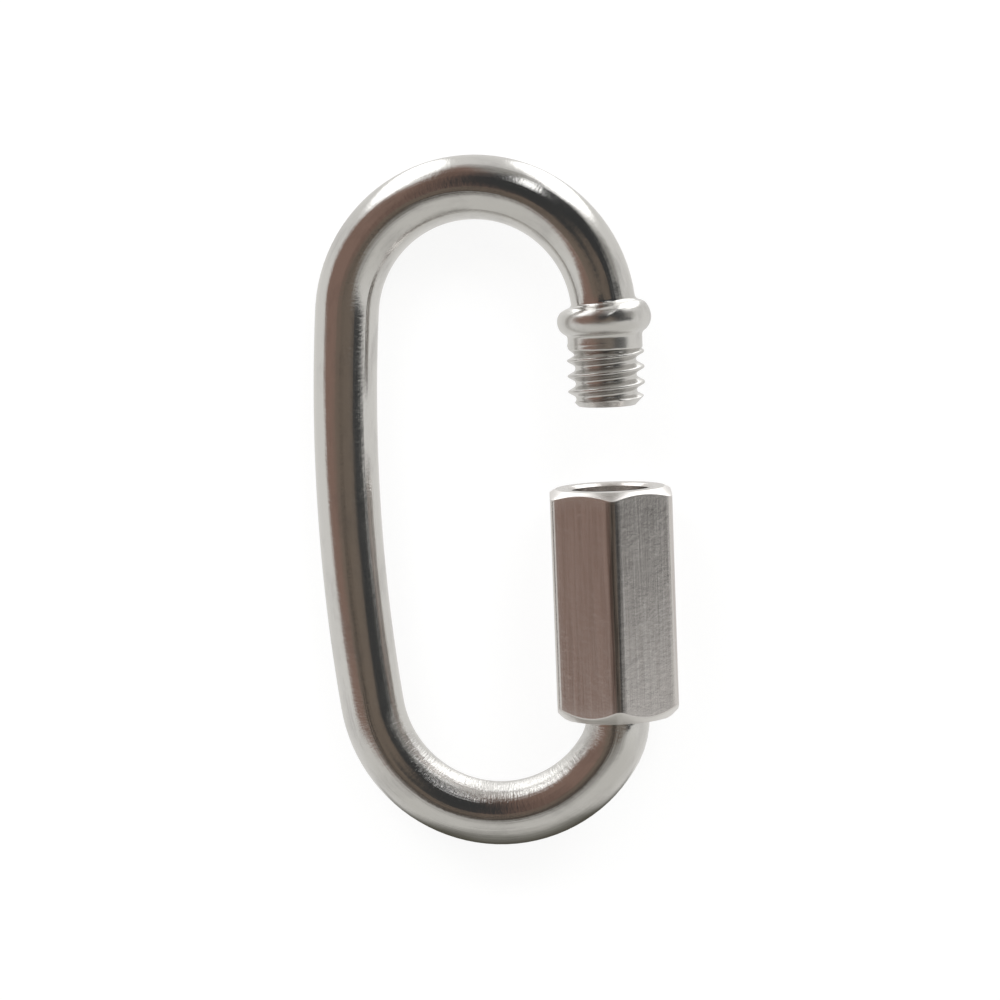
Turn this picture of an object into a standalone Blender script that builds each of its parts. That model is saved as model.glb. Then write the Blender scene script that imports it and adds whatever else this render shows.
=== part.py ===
"""Chain quick link: an open steel oval with a collar and two threaded ends, closed by a long hexagon nut.

Run with blender --background --python part.py, or from Blender's text editor. Units are metres.

The link lies on a table. World +Y runs along the thread axis from the nut to the collar, world +Z is up.
Both threaded ends share one axis, so the nut can run from one to the other. Everything is drawn about an
empty on that axis, whose own Z is world +Y, and the oval turns about it until the link rests on the lower
corner of the nut and on the back of the oval.
"""

import math

import bmesh
import bpy
from mathutils import Matrix, Vector

MM = 0.001

# Rod and bends. The centreline is four tangent arcs: the top bend over the collar, the slightly bowed back,
# the bottom bend, and the tighter heel that brings the rod back on to the thread axis.
ROD_DIAMETER = 5.3 * MM
INSIDE_WIDTH = 16.2 * MM
TOP_TURN = math.radians(175.0)
BACK_TURN = math.radians(12.5)
HEEL_TURN = math.radians(31.0)
HEEL_RADIUS = 5.8 * MM

# Thread, right-handed, on one helix that runs through both ends.
THREAD_DIAMETER = 6.35 * MM
THREAD_PITCH = 1.27 * MM
THREAD_DEPTH = 0.66 * MM
THREAD_CREST = 0.15 * MM
FLANK_ANGLE = math.radians(30.0)

# Collar end.
COLLAR_DIAMETER = 7.75 * MM
COLLAR_BEAD_RADIUS = 1.3 * MM
COLLAR_FILLET = 0.4 * MM
COLLAR_SETBACK = 0.45 * MM
NECK_DIAMETER = 6.15 * MM
NECK_LENGTH = 1.15 * MM
UPPER_THREAD_LENGTH = 4.75 * MM

# Nut end.
LOWER_THREAD_LENGTH = 16.4 * MM
TIP_RECESS = 1.4 * MM
TIP_DIAMETER = 4.7 * MM
THREAD_RUNOUT = 0.6 * MM

# Nut. It is screwed back by a whole number of turns from its seat under the collar.
ACROSS_FLATS = 10.0 * MM
NUT_LENGTH = 19.1 * MM
NUT_END_DIAMETER = 9.5 * MM
NUT_CHAMFER_ANGLE = math.radians(30.0)
NUT_CORNER_RADIUS = 0.55 * MM
NUT_MOUTH_DIAMETER = 7.1 * MM
BORE_CLEARANCE = 0.3 * MM
TURNS_TO_CLOSE = 10
SEAT_CLEARANCE = 0.3 * MM

# Facets.
ROD_SIDES = 32
BEND_STEP = math.radians(6.0)
BACK_STEP = math.radians(2.6)
THREAD_STEPS = 24
TURNED_STEPS = 36
BORE_STEPS = 48
CORNER_SEGMENTS = 4

# Construction. Shapes that are joined reach this far into each other, and cutters this far past what they cut.
COLLAR_SINK = 0.1 * MM
THREAD_SINK = 0.075 * MM
BLANK_MARGIN = 0.15 * MM
CUTTER_MARGIN = 1.0 * MM

MERGE_DISTANCE = 0.005 * MM
SHARP_ANGLE = math.radians(35.0)


class Link:
    """Sizes that follow from the driving ones, measured along the thread axis from the top bend's start."""

    def __init__(self):
        self.rod_radius = ROD_DIAMETER / 2
        self.top_radius = (INSIDE_WIDTH + ROD_DIAMETER) / 2
        self.collar_z = -COLLAR_SETBACK
        self.bead_centre_radius = COLLAR_DIAMETER / 2 - COLLAR_BEAD_RADIUS
        self.neck_radius = NECK_DIAMETER / 2
        self.crest_radius = THREAD_DIAMETER / 2
        self.root_radius = self.crest_radius - THREAD_DEPTH
        self.neck_top_z = self.collar_z - self.bead_reach(self.neck_radius)
        self.upper_thread_z = self.neck_top_z - NECK_LENGTH
        self.upper_tip_z = self.upper_thread_z - UPPER_THREAD_LENGTH
        seat_z = self.collar_z - self.bead_reach(NUT_MOUTH_DIAMETER / 2)
        self.nut_top_z = seat_z - SEAT_CLEARANCE - TURNS_TO_CLOSE * THREAD_PITCH
        self.nut_bottom_z = self.nut_top_z - NUT_LENGTH
        self.lower_tip_z = self.nut_top_z - TIP_RECESS
        self.lower_thread_z = self.lower_tip_z - LOWER_THREAD_LENGTH
        self.back_radius, self.bottom_radius = self.closing_radii()

    def bead_reach(self, radius):
        """Half the collar's height where it is this far from the axis."""
        offset = radius - self.bead_centre_radius
        return math.sqrt(max(COLLAR_BEAD_RADIUS**2 - offset**2, 0.0))

    def headings(self):
        """Direction of the rod at each joint between arcs, from straight up through one full turn."""
        start = math.pi / 2
        end = start + 2 * math.pi
        top_end = start + TOP_TURN
        return [start, top_end, top_end + BACK_TURN, end - HEEL_TURN, end]

    def closing_radii(self):
        """Radii of the back and the bottom bend that bring the rod back to the axis at the nut's lower end."""
        start, top_end, back_end, heel_start, end = self.headings()
        across = Vector((math.sin(back_end) - math.sin(top_end), math.sin(heel_start) - math.sin(back_end)))
        along = Vector((math.cos(top_end) - math.cos(back_end), math.cos(back_end) - math.cos(heel_start)))
        across_left = self.top_radius * (math.sin(start) - math.sin(top_end))
        across_left += HEEL_RADIUS * (math.sin(heel_start) - math.sin(end))
        along_left = self.nut_bottom_z - self.top_radius * (math.cos(start) - math.cos(top_end))
        along_left -= HEEL_RADIUS * (math.cos(heel_start) - math.cos(end))
        solved = Matrix((across, along)).inverted() @ Vector((across_left, along_left))
        return solved[0], solved[1]

    def arcs(self):
        """Each arc as its radius, its first and last heading and the step its points are taken at."""
        radii = [self.top_radius, self.back_radius, self.bottom_radius, HEEL_RADIUS]
        steps = [BEND_STEP, BACK_STEP, BEND_STEP, BEND_STEP]
        headings = self.headings()
        return list(zip(radii, headings[:-1], headings[1:], steps))

    def centreline(self):
        """Points of the rod's axis in its plane, as (across, along), from the neck round to the lower thread."""
        points = [(0.0, self.neck_top_z - NECK_LENGTH / 2), (0.0, 0.0)]
        across, along = points[-1]
        for radius, first, last, step in self.arcs():
            centre = (across - radius * math.sin(first), along + radius * math.cos(first))
            count = max(math.ceil((last - first) / step), 1)
            for index in range(1, count + 1):
                heading = first + (last - first) * index / count
                across = centre[0] + radius * math.sin(heading)
                along = centre[1] - radius * math.cos(heading)
                points.append((across, along))
        shank_end = max(self.lower_thread_z, self.nut_bottom_z + 2 * THREAD_RUNOUT)
        points.append((0.0, shank_end))
        return points

    def back_reach(self):
        """How far the rod's axis strays from the thread axis at the back of the oval."""
        return -min(across for across, along in self.centreline())

    def middle(self):
        """Height of the middle of the overall length."""
        top = self.top_radius + self.rod_radius
        bottom = min(along for across, along in self.centreline()) - self.rod_radius
        return (top + bottom) / 2


def clear_scene():
    for item in list(bpy.data.objects):
        bpy.data.objects.remove(item, do_unlink=True)


def new_collection(name):
    collection = bpy.data.collections.new(name)
    bpy.context.scene.collection.children.link(collection)
    return collection


def steel(name, colour, roughness):
    material = bpy.data.materials.new(name)
    material.use_nodes = True
    shader = material.node_tree.nodes["Principled BSDF"]
    shader.inputs["Base Color"].default_value = (*colour, 1.0)
    shader.inputs["Metallic"].default_value = 1.0
    shader.inputs["Roughness"].default_value = roughness
    return material


def place(item, collection, parent, cutter=False):
    """Link an object, hang it under an empty, and hide it if it only shapes another."""
    collection.objects.link(item)
    item.parent = parent
    if cutter:
        item.hide_render = True
        item.display_type = "WIRE"
    return item


def axis_empty(name, collection, location, turn):
    empty = bpy.data.objects.new(name, None)
    empty.location = location
    empty.rotation_euler = turn
    empty.empty_display_size = THREAD_DIAMETER
    collection.objects.link(empty)
    return empty


def smooth(mesh):
    mesh.shade_smooth()
    mesh.set_sharp_from_angle(angle=SHARP_ANGLE)


def arc_points(centre, radius, first, last, count):
    """Points on an arc in the (radius, height) plane of a turned profile."""
    points = []
    for index in range(count + 1):
        angle = first + (last - first) * index / count
        points.append((centre[0] + radius * math.cos(angle), centre[1] + radius * math.sin(angle)))
    return points


def turned(name, profile, steps):
    """A solid of revolution about its own Z. The profile runs down its outer side, from axis to axis."""
    bm = bmesh.new()
    verts = [bm.verts.new((radius, 0.0, height)) for radius, height in profile]
    for first, second in zip(verts, verts[1:]):
        bm.edges.new((first, second))
    mesh = bpy.data.meshes.new(name)
    bm.to_mesh(mesh)
    bm.free()
    item = bpy.data.objects.new(name, mesh)
    screw = item.modifiers.new("Turn", "SCREW")
    screw.axis = "Z"
    screw.angle = 2 * math.pi
    screw.steps = steps
    screw.render_steps = steps
    screw.use_merge_vertices = True
    screw.merge_threshold = MERGE_DISTANCE
    return item


def boolean(item, operation, tool):
    modifier = item.modifiers.new(f"{operation.title()} {tool.name}", "BOOLEAN")
    modifier.operation = operation
    modifier.solver = "EXACT"
    modifier.object = tool


def collar_profile(link):
    """Neck, upset bead and the fillets into the neck and the rod, from the rod down to the neck's end."""
    bead = (link.bead_centre_radius, link.collar_z)
    reach = COLLAR_BEAD_RADIUS + COLLAR_FILLET

    def fillet_centre(radius, side):
        centre_radius = radius + COLLAR_FILLET
        height = math.sqrt(max(reach**2 - (centre_radius - bead[0]) ** 2, 0.0))
        return (centre_radius, bead[1] + side * height)

    # The rod side starts a little inside the rod, so the two surfaces cross instead of lying on each other.
    upper = fillet_centre(link.rod_radius - COLLAR_SINK, 1)
    lower = fillet_centre(link.neck_radius, -1)
    upper_angle = math.atan2(upper[1] - bead[1], upper[0] - bead[0])
    lower_angle = math.atan2(lower[1] - bead[1], lower[0] - bead[0])
    profile = [(0.0, upper[1])]
    profile += arc_points(upper, COLLAR_FILLET, math.pi, upper_angle + math.pi, 3)
    profile += arc_points(bead, COLLAR_BEAD_RADIUS, upper_angle, lower_angle, 12)[1:]
    profile += arc_points(lower, COLLAR_FILLET, lower_angle + math.pi, math.pi, 3)[1:]
    profile.append((link.neck_radius, link.upper_thread_z))
    profile.append((0.0, link.upper_thread_z))
    return profile


def helical_thread(name, link, low, high):
    """A threaded bar longer than needed, from one pitch of profile spun along the axis on the common helix."""
    flank = THREAD_DEPTH * math.tan(FLANK_ANGLE)
    first_turn = math.floor(low / THREAD_PITCH) - 1
    turns = math.ceil(high / THREAD_PITCH) + 1 - first_turn
    start = first_turn * THREAD_PITCH
    root = (THREAD_PITCH - THREAD_CREST - 2 * flank) / 2
    profile = [
        (link.root_radius, start),
        (link.root_radius, start + root),
        (link.crest_radius, start + root + flank),
        (link.crest_radius, start + root + flank + THREAD_CREST),
        (link.root_radius, start + THREAD_PITCH - root),
        (link.root_radius, start + THREAD_PITCH),
    ]
    bm = bmesh.new()
    verts = [bm.verts.new((radius, 0.0, height)) for radius, height in profile]
    edges = [bm.edges.new(pair) for pair in zip(verts, verts[1:])]
    bmesh.ops.spin(
        bm,
        geom=verts + edges,
        cent=(0.0, 0.0, 0.0),
        axis=(0.0, 0.0, 1.0),
        dvec=(0.0, 0.0, THREAD_PITCH / THREAD_STEPS),
        angle=2 * math.pi * turns,
        steps=THREAD_STEPS * turns,
    )
    bmesh.ops.remove_doubles(bm, verts=bm.verts, dist=MERGE_DISTANCE)
    close_on_axis(bm)
    mesh = bpy.data.meshes.new(name)
    bm.to_mesh(mesh)
    bm.free()
    smooth(mesh)
    return bpy.data.objects.new(name, mesh)


def close_on_axis(bm):
    """Close both ends of a threaded tube with a fan that runs in to one point on the axis."""
    middle = sum(vert.co.z for vert in bm.verts) / len(bm.verts)
    rim = [edge for edge in bm.edges if edge.is_boundary]
    for upper in (False, True):
        side = [edge for edge in rim if (edge.verts[0].co.z > middle) == upper]
        height = sum(edge.verts[0].co.z for edge in side) / len(side)
        fan = bmesh.ops.extrude_edge_only(bm, edges=side)["geom"]
        inner = [item for item in fan if isinstance(item, bmesh.types.BMVert)]
        bmesh.ops.pointmerge(bm, verts=inner, merge_co=(0.0, 0.0, height))
    bmesh.ops.recalc_face_normals(bm, faces=bm.faces)


def stud_blank(name, link, tip_z, seat_z):
    """The turned shape that the thread is trimmed to: a chamfered tip, and a runout that dives into the bar."""
    side = 1 if seat_z > tip_z else -1
    outer = link.crest_radius + BLANK_MARGIN
    buried = link.root_radius - THREAD_SINK
    tip = TIP_DIAMETER / 2
    profile = [
        (0.0, tip_z),
        (tip, tip_z),
        (outer, tip_z + side * (outer - tip)),
        (outer, seat_z),
        (buried, seat_z + side * THREAD_RUNOUT),
        (0.0, seat_z + side * THREAD_RUNOUT),
    ]
    if side > 0:
        profile.reverse()
    return turned(name, profile, TURNED_STEPS)


def rod_mesh(link, material):
    """The bent rod: a round section swept along the centreline, its caps welded on."""
    curve = bpy.data.curves.new("rod_path", "CURVE")
    curve.dimensions = "3D"
    curve.bevel_depth = link.rod_radius
    curve.bevel_resolution = (ROD_SIDES - 4) // 2
    curve.use_fill_caps = True
    path = link.centreline()
    spline = curve.splines.new("POLY")
    spline.points.add(len(path) - 1)
    for point, (across, along) in zip(spline.points, path):
        point.co = (across, 0.0, along, 1.0)
    swept = bpy.data.objects.new("rod_path", curve)
    bpy.context.scene.collection.objects.link(swept)
    graph = bpy.context.evaluated_depsgraph_get()
    mesh = bpy.data.meshes.new_from_object(swept.evaluated_get(graph), depsgraph=graph)
    bpy.data.objects.remove(swept, do_unlink=True)
    bm = bmesh.new()
    bm.from_mesh(mesh)
    bmesh.ops.remove_doubles(bm, verts=bm.verts, dist=MERGE_DISTANCE)
    bmesh.ops.recalc_face_normals(bm, faces=bm.faces)
    bm.to_mesh(mesh)
    bm.free()
    mesh.name = "link_body"
    mesh.materials.clear()
    mesh.materials.append(material)
    smooth(mesh)
    return mesh


def build_link_body(link, parts, cutters, plane):
    """The one-piece body: the rod with its collar, neck and both threads united with it."""
    material = steel("polished_steel", (0.62, 0.61, 0.59), 0.16)
    body = place(bpy.data.objects.new("link_body", rod_mesh(link, material)), parts, plane)
    boolean(body, "UNION", place(turned("collar", collar_profile(link), TURNED_STEPS), cutters, plane, True))
    ends = [
        ("upper_thread", link.upper_tip_z, link.upper_thread_z),
        ("lower_thread", link.lower_tip_z, link.lower_thread_z),
    ]
    for name, tip_z, seat_z in ends:
        reach = THREAD_RUNOUT if seat_z > tip_z else -THREAD_RUNOUT
        low, high = sorted((tip_z, seat_z + reach))
        thread = place(helical_thread(name, link, low, high), cutters, plane, True)
        blank = place(stud_blank(name + "_blank", link, tip_z, seat_z), cutters, plane, True)
        boolean(thread, "INTERSECT", blank)
        boolean(body, "UNION", thread)
    return body


def hexagon_bar(name, link):
    """A six-sided bar with its long edges rounded, corners along its own Y."""
    bm = bmesh.new()
    corner_radius = ACROSS_FLATS / math.sqrt(3)
    middle = (link.nut_top_z + link.nut_bottom_z) / 2
    bmesh.ops.create_cone(
        bm,
        cap_ends=True,
        segments=6,
        radius1=corner_radius,
        radius2=corner_radius,
        depth=NUT_LENGTH + CUTTER_MARGIN,
        matrix=Matrix.Translation((0.0, 0.0, middle)),
    )
    long_edges = [edge for edge in bm.edges if abs(edge.verts[0].co.z - edge.verts[1].co.z) > NUT_LENGTH / 2]
    bmesh.ops.bevel(
        bm,
        geom=long_edges,
        offset=NUT_CORNER_RADIUS * math.tan(math.pi / 6),
        segments=CORNER_SEGMENTS,
        profile=0.5,
        affect="EDGES",
        material=-1,
    )
    mesh = bpy.data.meshes.new(name)
    bm.to_mesh(mesh)
    bm.free()
    smooth(mesh)
    return bpy.data.objects.new(name, mesh)


def nut_blank_profile(link):
    """Both ends chamfered by a cone, which leaves the scalloped edges on the six flats."""
    end_radius = NUT_END_DIAMETER / 2
    outer = ACROSS_FLATS / math.sqrt(3) + CUTTER_MARGIN
    drop = (outer - end_radius) * math.tan(NUT_CHAMFER_ANGLE)
    return [
        (0.0, link.nut_top_z),
        (end_radius, link.nut_top_z),
        (outer, link.nut_top_z - drop),
        (outer, link.nut_bottom_z + drop),
        (end_radius, link.nut_bottom_z),
        (0.0, link.nut_bottom_z),
    ]


def nut_bore_profile(link):
    """A through hole that clears the crests, countersunk at both mouths. The thread in it is not cut here."""
    bore = link.crest_radius + BORE_CLEARANCE
    mouth = max(NUT_MOUTH_DIAMETER / 2, bore)
    sink = mouth - bore
    past = CUTTER_MARGIN
    return [
        (0.0, link.nut_top_z + past),
        (mouth + past, link.nut_top_z + past),
        (bore, link.nut_top_z - sink),
        (bore, link.nut_bottom_z + sink),
        (mouth + past, link.nut_bottom_z - past),
        (0.0, link.nut_bottom_z - past),
    ]


def build_sleeve_nut(link, parts, cutters, axis):
    nut = place(hexagon_bar("sleeve_nut", link), parts, axis)
    nut.data.materials.append(steel("satin_steel", (0.56, 0.55, 0.53), 0.3))
    blank = place(turned("nut_blank", nut_blank_profile(link), BORE_STEPS), cutters, axis, True)
    bore = place(turned("nut_bore", nut_bore_profile(link), BORE_STEPS), cutters, axis, True)
    # Half a step of turn keeps the edges of both cutters off the corners and the middles of the flats.
    for cutter in (blank, bore):
        cutter.rotation_euler.z = math.pi / BORE_STEPS
    boolean(nut, "INTERSECT", blank)
    boolean(nut, "DIFFERENCE", bore)
    return nut


def build():
    link = Link()
    clear_scene()
    parts = new_collection("chain_quick_link")
    cutters = new_collection("chain_quick_link_cutters")

    # The lower corner of the nut and the back of the oval both touch the table at height zero.
    corner_height = ACROSS_FLATS / math.sqrt(3) - NUT_CORNER_RADIUS * (1 / math.cos(math.pi / 6) - 1)
    back_reach = link.back_reach()
    tilt = math.asin((corner_height - link.rod_radius) / back_reach)
    left = back_reach * math.cos(tilt) + link.rod_radius
    right = ACROSS_FLATS / 2
    axis = axis_empty(
        "thread_axis", parts, ((left - right) / 2, -link.middle(), corner_height), (-math.pi / 2, 0.0, 0.0)
    )
    plane = axis_empty("link_plane", parts, (0.0, 0.0, 0.0), (0.0, 0.0, -tilt))
    plane.parent = axis
    build_link_body(link, parts, cutters, plane)
    build_sleeve_nut(link, parts, cutters, axis)


build()
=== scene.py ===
"""Chain quick link: the bent, threaded rod and its hexagon nut, finished and lit in a plain studio.

The frame holds the two solids where they lie. The sizes below repeat the link's own design, in metres, so
that the fine surfaces follow those solids: the same four tangent arcs, and one helix through both threaded
ends. The nut's corners and chamfers are cut back a little further than the solid's, as the photograph shows.
The rod is made as a real one is: turned straight, with its collar and its rolled threads, and then bent.
Heights along the thread axis are measured upwards from the start of the top bend.
"""

import math

import bmesh
import bpy
from bpy.props import FloatProperty, FloatVectorProperty, IntProperty, PointerProperty
from mathutils import Matrix, Vector, noise


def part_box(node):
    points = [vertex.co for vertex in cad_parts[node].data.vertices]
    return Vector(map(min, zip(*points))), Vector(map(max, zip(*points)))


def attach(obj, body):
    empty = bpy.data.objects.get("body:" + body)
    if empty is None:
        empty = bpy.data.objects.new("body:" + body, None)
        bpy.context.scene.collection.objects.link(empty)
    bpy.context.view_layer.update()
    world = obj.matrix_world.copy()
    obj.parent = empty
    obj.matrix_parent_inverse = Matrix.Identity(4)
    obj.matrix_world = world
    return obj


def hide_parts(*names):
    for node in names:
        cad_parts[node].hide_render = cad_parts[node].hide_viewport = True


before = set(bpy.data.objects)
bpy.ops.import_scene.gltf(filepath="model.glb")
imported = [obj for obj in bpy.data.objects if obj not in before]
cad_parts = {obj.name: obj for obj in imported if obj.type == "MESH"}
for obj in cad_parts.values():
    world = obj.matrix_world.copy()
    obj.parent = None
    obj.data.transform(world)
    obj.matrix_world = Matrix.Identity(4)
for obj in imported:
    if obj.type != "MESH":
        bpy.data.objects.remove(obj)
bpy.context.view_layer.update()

bl_info = {
    "name": "Chain Quick Link",
    "version": (1, 0, 0),
    "blender": (4, 5, 0),
    "location": "3D View > Sidebar > Quick Link",
    "description": "Threaded steel rod, hexagon nut and a plain studio around the packed quick link",
    "category": "Add Mesh",
}

MM = 0.001
ROD_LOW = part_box("link_body")[0]
NUT_LOW, NUT_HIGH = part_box("sleeve_nut")

# Meshing: steps and cuts, and the distances within which points merge, cuts snap and rims are found.
MERGE_DISTANCE = 0.002 * MM
CUT_SNAP = 0.0005 * MM
RIM_TOLERANCE = 0.01 * MM
JOIN_GAP = 0.08 * MM
FILLET_STEPS = 6
BEAD_STEPS = 28
ROOT_STEPS = 4
TAPPED_STEPS = 12
TAPPED_SIDES = 48
CORNER_SEGMENTS = 6
FLAT_CUTS = 15
FLAT_RINGS = 12
FLAT_SUPPORT = 0.007

# Rolled thread: points up the flank, as shares, and how far the crest's edge is broken in and sideways.
FLANK_POINTS = (0.35, 0.7, 0.93)
CREST_BREAK = (0.01 * MM, 0.015 * MM)
THREAD_NICKS = 0.015 * MM

# Rings of a thread's end face: share of the tip's radius, and bulge in millimetres.
TIP_RINGS = ((0.985, 0.0), (0.93, 0.03), (0.5, 0.06))

# Nicks on the crests: turns of noise to the metre, and the share of them along the bar.
NICK_SCALE = 1500.0
NICK_STRETCH = 0.4

# Where the root starts to deepen as a thread comes out of its runout, and over what length, in runouts.
ROOT_FALL_START = 0.9
ROOT_FALL_SPAN = 0.8

# Lumps on the bead: slow and quick noise in turns to the metre, where quick lumps start, and their shares.
SLOW_LUMPS = 450.0
QUICK_LUMPS = 1300.0
LUMP_START = 0.22
LUMPS_BELOW = 0.25
SLOW_SHARE = 0.45
QUICK_SHARE = 2.2

# Where the bend is sampled beside a point of the bar, in radii of the bar.
SQUEEZE_SAMPLES = (-0.5, -0.25, 0.0, 0.25, 0.5)

# Shares of the wrinkles that the top bend shows, and of the draw lines that the turned ends show.
TOP_WRINKLES = 0.3
TURNED_LINES = 0.15

# Wear on the nut and painted shade on it: the bright band's width, the margins of the dark reflection painted
# on the upper corner, and how squarely that corner faces up.
BRIGHT_BAND = 0.2 * MM
PAINTED_SHADE_START = 0.1 * MM
CORNER_MARGIN = 0.03 * MM
FACING_UP = 0.9

# Heights of the bumps in the two steels.
SWELL = 0.0001
CRACKLE = 0.00006
DRAW_LINES = 0.000014
PECKS = 0.000009
PATCHES = 0.00002
KNOCKS = 0.000009
NUT_GRAIN = 0.00001

# The glowing dark sheet that only reflections see, a painted shadow on the floor for the metal to mirror: its
# rows as (y, z), its sides, and where it fades out from its middle.
SHADOW_SHEET_ROWS = ((-0.0265, 0.0003), (-0.033, 0.0005), (-0.060, 0.030))
SHADOW_SHEET_SIDES = (-0.017, 0.019)
SHADOW_SHEET_MIDDLE = 0.001
SHADOW_SHEET_FADE = (0.008, 0.018)
SHADOW_SHEET_SHADE_HEIGHT = 0.014

LEFT_LAMP = (-0.24, 0.34, 0.30)
RIGHT_LAMP = (0.22, 0.36, 0.30)
LAMP_SIZE = 0.25
FLOOR_HALF = 2.0

# What the metal mirrors, later over earlier: colour, centre and half size in degrees, turn, softness.
CARDS = (
    ("low_room", (0, -62), (75, 48), 0, 0.4),
    ("haze", (-4, -16), (28, 13), 0, 0.6),
    ("panel", (-52, 98), (25, 45), -8, 0.2),
    ("panel", (56, 100), (32, 42), 12, 0.2),
    ("panel", (38, 69), (10, 13), -30, 0.3),
    ("haze", (0, 64), (24, 20), 0, 0.5),
    ("brown_card", (-20, 44), (12, 40), -6, 0.3),
    ("brown_card", (-46, 15), (38, 36), -4, 0.12),
    ("haze", (58, 28), (18, 18), 0, 0.5),
    ("smoke", (58, 1), (13, 12.5), 0, 0.15),
    ("rust", (-22, 32), (9, 36), 0, 0.5),
    ("black_card", (16, 28), (36, 36), 0, 0.2),
    ("black_card", (-8, 18), (10, 27), 0, 0.2),
    ("black_card", (38, -3), (22, 11), 3, 0.15),
    ("shade", (-6, -6), (34, 8), 0, 0.3),
    ("umber", (-15, -13), (8, 6), 0, 0.5),
    ("shade", (15, 7), (12, 10), 0, 0.5),
    ("panel", (11, 52), (4.5, 14), -28, 0.4),
)


def length(name, millimetres, description):
    return FloatProperty(
        name=name, description=description, default=millimetres * MM, min=0.0, precision=5, unit="LENGTH"
    )


def angle(name, degrees, description):
    return FloatProperty(
        name=name, description=description, default=math.radians(degrees), precision=2, subtype="ANGLE"
    )


def colour(name, value, description):
    return FloatVectorProperty(
        name=name, description=description, default=value, size=3, min=0.0, max=3.0, subtype="COLOR"
    )


def share(name, value, description):
    return FloatProperty(name=name, description=description, default=value, min=0.0, precision=3)


class RodSizes(bpy.types.PropertyGroup):
    """The bar and the four tangent arcs that it is bent to."""

    diameter: length("Rod diameter", 5.3, "Diameter of the plain bar")
    inside_width: length("Inside width", 16.2, "Clear width under the top bend")
    top_turn: angle("Top bend", 175.0, "Turn of the bend over the collar")
    back_turn: angle("Back", 12.5, "Turn of the slightly bowed back")
    heel_turn: angle("Heel", 31.0, "Turn of the last bend, below the nut")
    heel_radius: length("Heel radius", 5.8, "Radius of the last bend on the rod's axis")
    ring_step: length("Ring spacing", 0.7, "Distance between the rings of the rod's surface")
    sides: IntProperty(name="Sides", description="Faces around the rod", default=96, min=24)


class ThreadSizes(bpy.types.PropertyGroup):
    """The helix that runs through both ends."""

    diameter: length("Thread diameter", 6.35, "Diameter over the crests")
    pitch: length("Pitch", 1.27, "Rise in one turn")
    depth: length("Depth", 0.66, "Height of the crests over the roots")
    crest: length("Crest width", 0.15, "Flat on top of the crests")
    flank: angle("Flank angle", 30.0, "Slope of the flanks, from square to the axis")
    runout: length("Runout", 0.6, "Length over which a thread fades out")
    upper_length: length("Upper thread", 4.75, "Length of the thread on the collar end")
    lower_length: length("Lower thread", 16.4, "Length of the thread that carries the nut")
    tip_diameter: length("Tip diameter", 4.7, "Diameter of the chamfered ends")
    tip_recess: length("Tip recess", 1.4, "Depth of the lower tip in the open nut")


class CollarSizes(bpy.types.PropertyGroup):
    """The bead upset on the bar, and the neck under it."""

    diameter: length("Collar diameter", 7.75, "Diameter over the bead")
    bead_radius: length("Bead radius", 1.3, "Radius of the bead's round section")
    fillet: length("Fillet", 0.4, "Radius of the hollows beside the bead")
    setback: length("Setback", 0.45, "Distance of the bead's middle from the top bend")
    neck_diameter: length("Neck diameter", 6.15, "Diameter of the neck between bead and thread")
    neck_length: length("Neck length", 1.15, "Length of the neck")
    lump: length("Lumps", 0.07, "Height of the lumps that upsetting leaves on the bead")
    lean: angle("Lean", 2.0, "Slant of the bead, which upsetting leaves a little out of square")


class NutSizes(bpy.types.PropertyGroup):
    """The long hexagon nut."""

    across_flats: length("Across flats", 10.0, "Width over two flats")
    length: length("Length", 19.1, "Length of the nut")
    end_diameter: length("End diameter", 9.1, "Diameter of the flat ring at both ends")
    corner_radius: length("Corner radius", 0.75, "Rounding of the six long edges")
    chamfer_angle: angle("Upper chamfer", 30.0, "Slope of the chamfer that scallops the flats' upper ends")
    lower_chamfer: angle("Lower chamfer", 45.0, "Slope of the chamfer at the flats' lower ends")
    mouth_diameter: length("Mouth diameter", 7.1, "Diameter of the hole at both ends")
    counterbore: length("Counterbore", 6.6, "Diameter of the plain bore that takes the neck")
    counterbore_depth: length("Counterbore depth", 1.3, "Depth of that bore")
    minor_diameter: length("Minor diameter", 5.5, "Diameter inside the crests of the nut's thread")
    major_diameter: length("Major diameter", 6.5, "Diameter at the roots of the nut's thread")
    play: length("Thread play", 0.07, "Distance between the flanks of nut and rod")
    edge: length("Broken edges", 0.07, "Width of the small bevel on every sharp edge")
    seat_clearance: length("Seat clearance", 0.3, "Gap under the collar when the link is closed")
    turns_to_close: IntProperty(name="Turns to close", description="Whole turns to the collar", default=10)


class Finish(bpy.types.PropertyGroup):
    """Colours and polish of the two pieces."""

    rod_light: colour("Rod, bright", (0.66, 0.65, 0.63), "Reflection of the polished bar")
    rod_dark: colour("Rod, dull", (0.52, 0.51, 0.50), "Reflection where the bar is stained or scratched")
    rod_polish: share("Rod roughness", 0.13, "Roughness of the polished bar")
    nut_light: colour("Nut, bright", (0.76, 0.74, 0.72), "Reflection of the nut's turned ends and worn edges")
    nut_dark: colour("Nut, dull", (0.60, 0.57, 0.55), "Reflection of the drawn flats")
    # Painted reflection: a dark tone painted on the nut's corner that faces up, standing in for the dark
    # cards that corner mirrors, not scale on the metal.
    nut_painted_shade: colour("Nut, scale", (0.22, 0.21, 0.20), "Reflection of the scale left on the upper corner")
    nut_polish: share("Nut roughness", 0.17, "Roughness of the drawn flats")


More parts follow.
